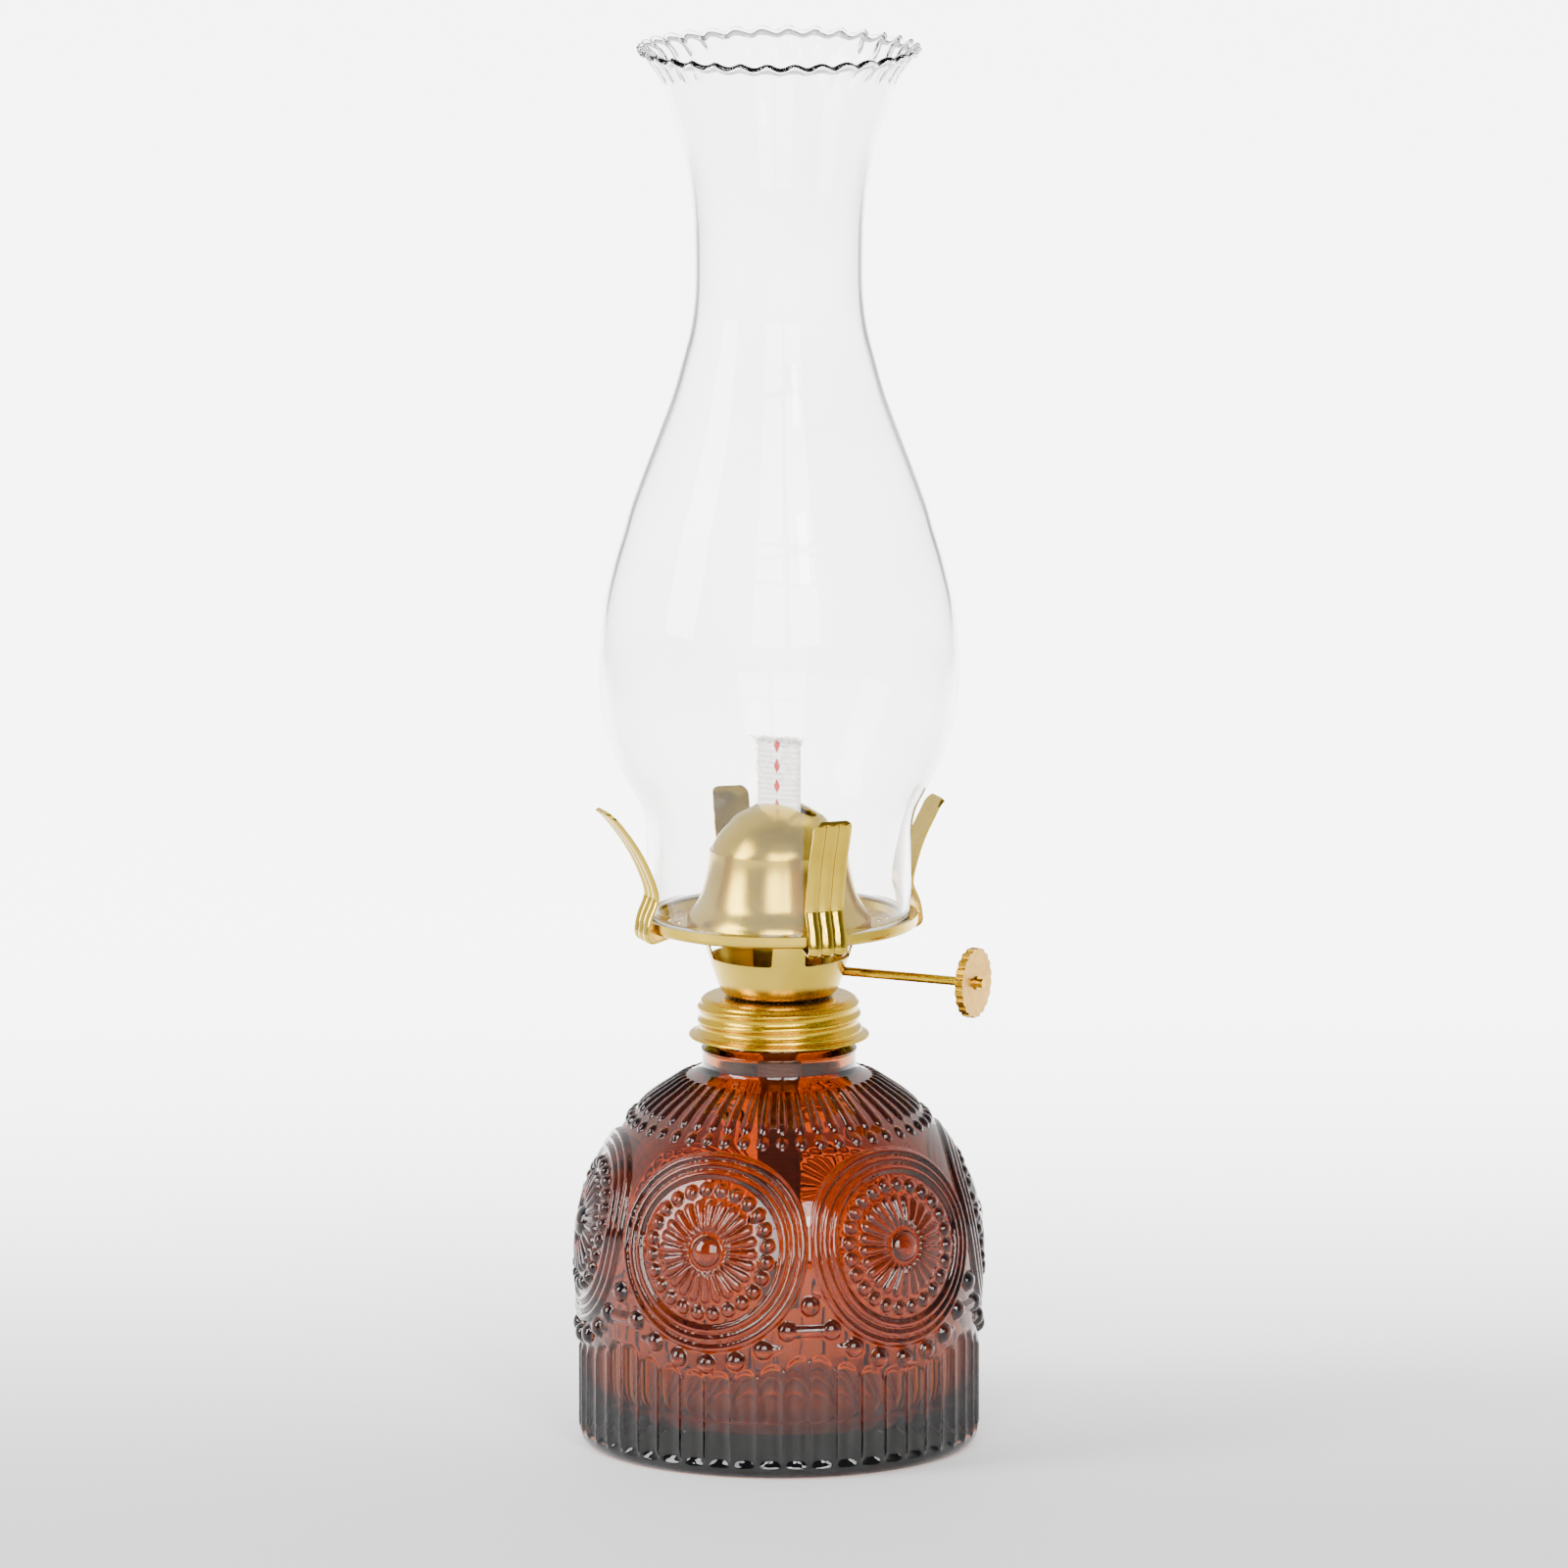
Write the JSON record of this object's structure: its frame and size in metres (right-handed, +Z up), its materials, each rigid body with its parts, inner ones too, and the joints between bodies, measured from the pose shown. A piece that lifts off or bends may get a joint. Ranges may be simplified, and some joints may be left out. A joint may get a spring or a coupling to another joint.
{
  "type": "oil lamp",
  "caption": "Table oil lamp: amber pressed-glass font, screw-on brass flat-wick burner with spring prongs, and a clear glass chimney with a crimped rim.",
  "frame": {"origin": "centre of the font's foot, on the table plane", "axes": "+Z up along the lamp's axis; +X along the wick-raiser spindle towards its knob"},
  "size_m": [0.0842, 0.0822, 0.285],
  "materials": {
    "amber_glass": "pressed amber glass, glossy",
    "clear_glass": "clear blown glass, glossy",
    "brass": "bright brass-plated sheet, light brushing",
    "washer": "matt",
    "cotton": "woven cotton with a red tracer thread"
  },
  "bodies": {
    "font": {"font_glass": "amber_glass"},
    "seal": {"neck_washer": "washer"},
    "burner": {"screw_collar": "brass", "burner_bowl": "brass", "wick_tube": "brass", "sprocket_housing": "brass", "gallery": "brass", "bell": "brass"},
    "raiser": {"spindle": "brass", "sprocket_1": "brass", "sprocket_2": "brass", "knob": "brass"},
    "wick": {"wick": "cotton"},
    "chimney": {"chimney": "clear_glass"},
    "prong_1": {"prong_1": "brass"},
    "prong_2": {"prong_2": "brass"},
    "prong_3": {"prong_3": "brass"},
    "prong_4": {"prong_4": "brass"}
  },
  "joints": [
    {"name": "burner_lift", "type": "slide", "parent": "font", "child": "seal", "axis": [0, 0, 1], "range_m": [0, 0.08]},
    {"name": "burner_unscrew", "type": "hinge", "parent": "seal", "child": "burner", "pos_m": [0, 0, 0.09], "axis": [0, 0, 1], "range_deg": [0, 450]},
    {"name": "raiser_turn", "type": "hinge", "parent": "burner", "child": "raiser", "pos_m": [0, 0.00445, 0.0966], "axis": [1, 0, 0], "range_deg": [-137, 308]},
    {"name": "wick_feed", "type": "slide", "parent": "burner", "child": "wick", "axis": [0, 0, 1], "range_m": [-0.018, 0.008]},
    {"name": "chimney_lift", "type": "slide", "parent": "burner", "child": "chimney", "axis": [0, 0, 1], "range_m": [0, 0.04]},
    {"name": "prong_1_flex", "type": "hinge", "parent": "burner", "child": "prong_1", "pos_m": [0.01725, 0.01725, 0.1059], "axis": [-0.7071, 0.7071, 0], "range_deg": [0, 7], "stiffness_Nm_per_rad": 0.3},
    {"name": "prong_2_flex", "type": "hinge", "parent": "burner", "child": "prong_2", "pos_m": [-0.01725, 0.01725, 0.1059], "axis": [-0.7071, -0.7071, 0], "range_deg": [0, 7], "stiffness_Nm_per_rad": 0.3},
    {"name": "prong_3_flex", "type": "hinge", "parent": "burner", "child": "prong_3", "pos_m": [-0.01725, -0.01725, 0.1059], "axis": [0.7071, -0.7071, 0], "range_deg": [0, 7], "stiffness_Nm_per_rad": 0.3},
    {"name": "prong_4_flex", "type": "hinge", "parent": "burner", "child": "prong_4", "pos_m": [0.01725, -0.01725, 0.1059], "axis": [0.7071, 0.7071, 0], "range_deg": [0, 7], "stiffness_Nm_per_rad": 0.3}
  ],
  "couplings": [
    {"joint": "raiser_turn", "follows": "wick_feed", "rad_per_m": -298.5}
  ]
}
